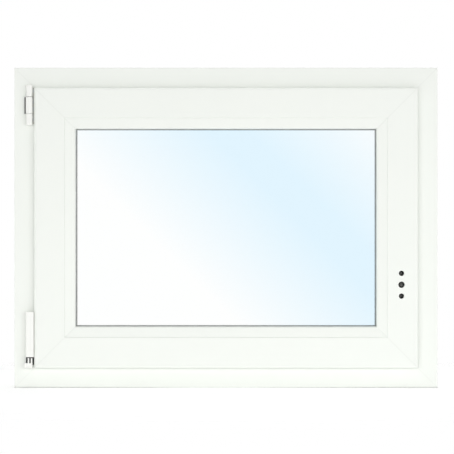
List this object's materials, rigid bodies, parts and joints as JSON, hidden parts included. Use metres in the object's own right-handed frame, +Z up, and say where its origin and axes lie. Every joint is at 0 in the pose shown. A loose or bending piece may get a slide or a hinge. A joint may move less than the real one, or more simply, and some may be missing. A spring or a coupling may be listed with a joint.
{
  "type": "tilt-and-turn window",
  "caption": "White PVC window with a tilt-and-turn sash hung on the left, insulating glass, and a stile drilled for a handle.",
  "frame": {"origin": "middle of the underside of the sill, half-way through the frame's depth", "axes": "+X along the sill to the right as seen from inside, +Y out through the wall, +Z up"},
  "size_m": [0.8, 0.0925, 0.605],
  "materials": {
    "pvc_white": "satin",
    "cover_white": "satin",
    "gasket_grey": "matte",
    "clear_glass": "polished",
    "spacer_metal": "satin",
    "sealant_black": "matte",
    "block_plastic": "matte",
    "dark_steel": "satin",
    "bright_steel": "satin"
  },
  "bodies": {
    "root": {"frame_head": "pvc_white", "frame_sill": "pvc_white", "frame_jamb_left": "pvc_white", "frame_jamb_right": "pvc_white", "sash_top_rail": "pvc_white", "sash_bottom_rail": "pvc_white", "sash_hinge_stile": "pvc_white", "sash_handle_stile": "pvc_white", "glazing_bead_top": "pvc_white", "glazing_bead_bottom": "pvc_white", "glazing_bead_left": "pvc_white", "glazing_bead_right": "pvc_white", "drain_cap_left": "pvc_white", "drain_cap_right": "pvc_white", "top_hinge_bearing": "cover_white", "top_hinge_upper_cap": "cover_white", "top_hinge_lower_cap": "cover_white", "bottom_hinge_bearing": "cover_white", "bottom_hinge_cover": "cover_white", "frame_gasket": "gasket_grey", "sash_gasket": "gasket_grey", "inner_glazing_gasket": "gasket_grey", "outer_glazing_gasket": "gasket_grey", "inner_pane": "clear_glass", "outer_pane": "clear_glass", "glass_spacer": "spacer_metal", "glass_edge_seal": "sealant_black", "setting_blocks": "block_plastic", "top_hinge_plate": "dark_steel", "bottom_hinge_plate": "dark_steel", "bottom_hinge_pin": "dark_steel", "lock_gearbox": "dark_steel", "lock_follower": "dark_steel", "top_hinge_strap": "bright_steel", "top_hinge_pin": "bright_steel", "bottom_hinge_strap": "bright_steel", "lock_strip": "bright_steel"}
  },
  "joints": []
}
